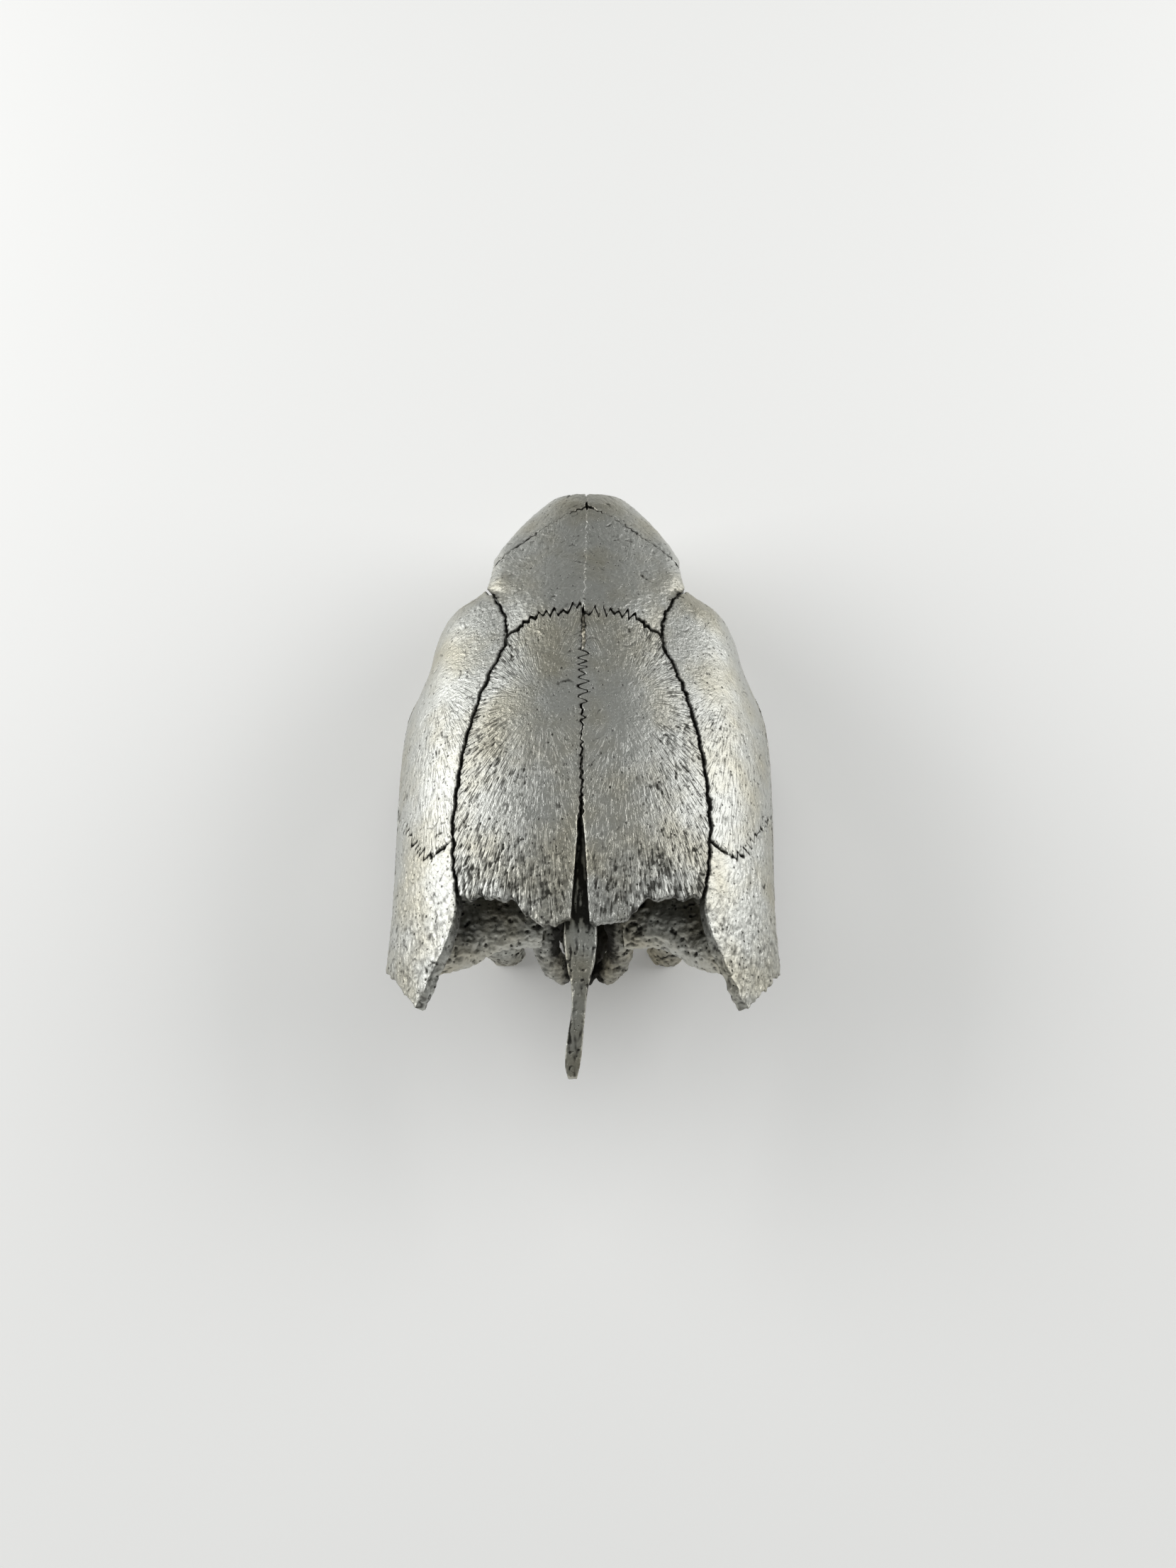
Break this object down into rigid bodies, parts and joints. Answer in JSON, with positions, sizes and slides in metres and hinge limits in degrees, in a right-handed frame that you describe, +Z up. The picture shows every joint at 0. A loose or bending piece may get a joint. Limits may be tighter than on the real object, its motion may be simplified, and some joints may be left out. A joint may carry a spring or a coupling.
{
  "type": "turtle skull ornament",
  "caption": "Silver-plated sea turtle cranium: domed roof of sutured bones, open eye sockets, toothless beak and a long crest at the rear; a display ornament.",
  "frame": {"origin": "on the surface the skull stands on, under the middle of its bounding box", "axes": "+Y towards the beak, +X towards the animal's right side, +Z up"},
  "size_m": [0.1274, 0.222, 0.0885],
  "materials": {
    "silver_plate": "antiqued silver plate, pitted and striated, semi-gloss",
    "tarnished_plate": "tarnished silver plate, dark in the recesses"
  },
  "bodies": {
    "root": {"parietal_right": "silver_plate", "parietal_left": "silver_plate", "frontal_right": "silver_plate", "frontal_left": "silver_plate", "prefrontal_right": "silver_plate", "prefrontal_left": "silver_plate", "postorbital_right": "silver_plate", "postorbital_left": "silver_plate", "squamosal_right": "silver_plate", "squamosal_left": "silver_plate", "jugal_right": "silver_plate", "jugal_left": "silver_plate", "quadratojugal_right": "silver_plate", "quadratojugal_left": "silver_plate", "maxilla_right": "silver_plate", "maxilla_left": "silver_plate", "premaxilla_right": "silver_plate", "premaxilla_left": "silver_plate", "quadrate_right": "tarnished_plate", "quadrate_left": "tarnished_plate", "prootic_right": "tarnished_plate", "prootic_left": "tarnished_plate", "opisthotic_right": "tarnished_plate", "opisthotic_left": "tarnished_plate", "exoccipital_right": "tarnished_plate", "exoccipital_left": "tarnished_plate", "pterygoid_right": "tarnished_plate", "pterygoid_left": "tarnished_plate", "palatine_right": "tarnished_plate", "palatine_left": "tarnished_plate", "supraoccipital": "silver_plate", "basioccipital": "tarnished_plate", "basisphenoid": "tarnished_plate", "vomer": "tarnished_plate"}
  },
  "joints": []
}
